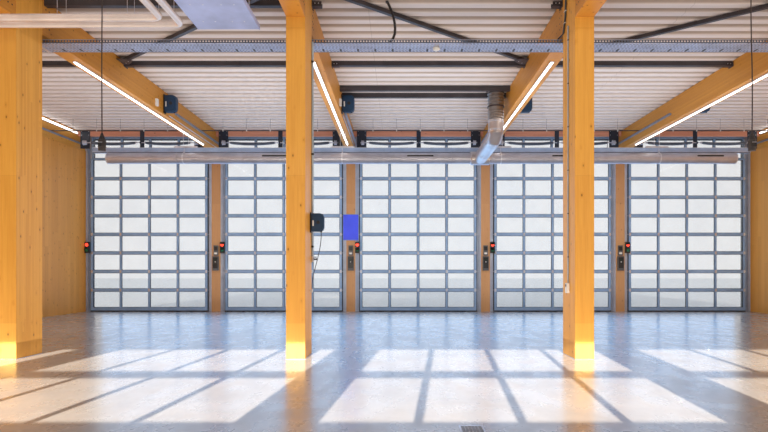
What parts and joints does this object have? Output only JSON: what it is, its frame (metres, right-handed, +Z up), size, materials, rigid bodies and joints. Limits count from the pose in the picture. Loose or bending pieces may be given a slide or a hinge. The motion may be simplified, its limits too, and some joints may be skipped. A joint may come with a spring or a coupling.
{
  "type": "fire station vehicle hall",
  "caption": "Flat-roofed vehicle hall with a glued timber frame, steel roof deck and glazed sectional doors on both long sides, hollow and open inside.",
  "frame": {"origin": "at ground level under the middle of the floor slab", "axes": "+X along the two door walls, +Y through the hall towards the back door wall, +Z up"},
  "size_m": [23.02, 20.3, 6.927],
  "materials": {
    "concrete": "polished grey concrete floor",
    "galvanised": "galvanised steel",
    "glued_timber": "glued spruce, clear varnish",
    "painted_timber": "reddish brown timber",
    "wall_panel": "spruce wall element",
    "outer_boards": "vertical timber boards",
    "dark_cladding": "satin dark grey coating",
    "door_frame": "satin blue-grey coating",
    "clear_glazing": "clear",
    "door_track": "galvanised steel",
    "dark_steel": "satin black coating",
    "deck_sheet": "matt off-white coating",
    "roofing": "grey roofing sheet",
    "sleeve": "ribbed flexible sleeve",
    "aluminium_rail": "mill finish",
    "pipe_jacket": "beige jacket",
    "pale_steel": "pale coating",
    "light_strip": "white diffuser",
    "reel_housing": "teal housing",
    "grey_pipe": "blue-grey",
    "cable_rubber": "matt black rubber"
  },
  "bodies": {
    "root": {"floor_slab": "concrete", "drain_grates": "galvanised", "mid_columns": "glued_timber", "back_beams": "glued_timber", "front_beams": "glued_timber", "back_wall_posts": "glued_timber", "front_wall_posts": "glued_timber", "back_piers": "dark_cladding", "front_piers": "dark_cladding", "back_door_leaves": "door_frame", "front_door_leaves": "door_frame", "back_door_glazing": "clear_glazing", "front_door_glazing": "clear_glazing", "back_door_tracks": "door_track", "front_door_tracks": "door_track", "back_transoms": "door_frame", "front_transoms": "door_frame", "back_spring_shafts": "dark_steel", "front_spring_shafts": "dark_steel", "transom_glazing": "clear_glazing", "spring_headers": "painted_timber", "wall_plates": "painted_timber", "fascias": "dark_cladding", "roof_deck": "deck_sheet", "roof_insulation": "roofing", "roof_coping": "dark_cladding", "left_end_wall": "wall_panel", "right_end_wall": "wall_panel", "left_end_cladding": "outer_boards", "right_end_cladding": "outer_boards", "roof_bracing": "dark_steel", "extract_duct": "galvanised", "duct_sleeve": "sleeve", "roof_outlet": "galvanised", "roof_cowl": "dark_cladding", "extract_rail": "aluminium_rail", "duct_hangers": "galvanised", "cable_tray": "galvanised", "tray_stirrups": "galvanised", "heating_pipes": "pipe_jacket", "radiant_panel": "pale_steel", "heating_hangers": "galvanised", "cable_rails": "dark_steel", "beam_lights": "light_strip", "hose_reels": "reel_housing", "column_fittings": "grey_pipe", "wall_fittings": "grey_pipe", "reel_hose": "cable_rubber", "pendant_roses": "grey_pipe", "left_pendant_cable": "cable_rubber", "right_pendant_cable": "cable_rubber", "left_pendant_connector": "cable_rubber", "right_pendant_connector": "cable_rubber"}
  },
  "joints": []
}
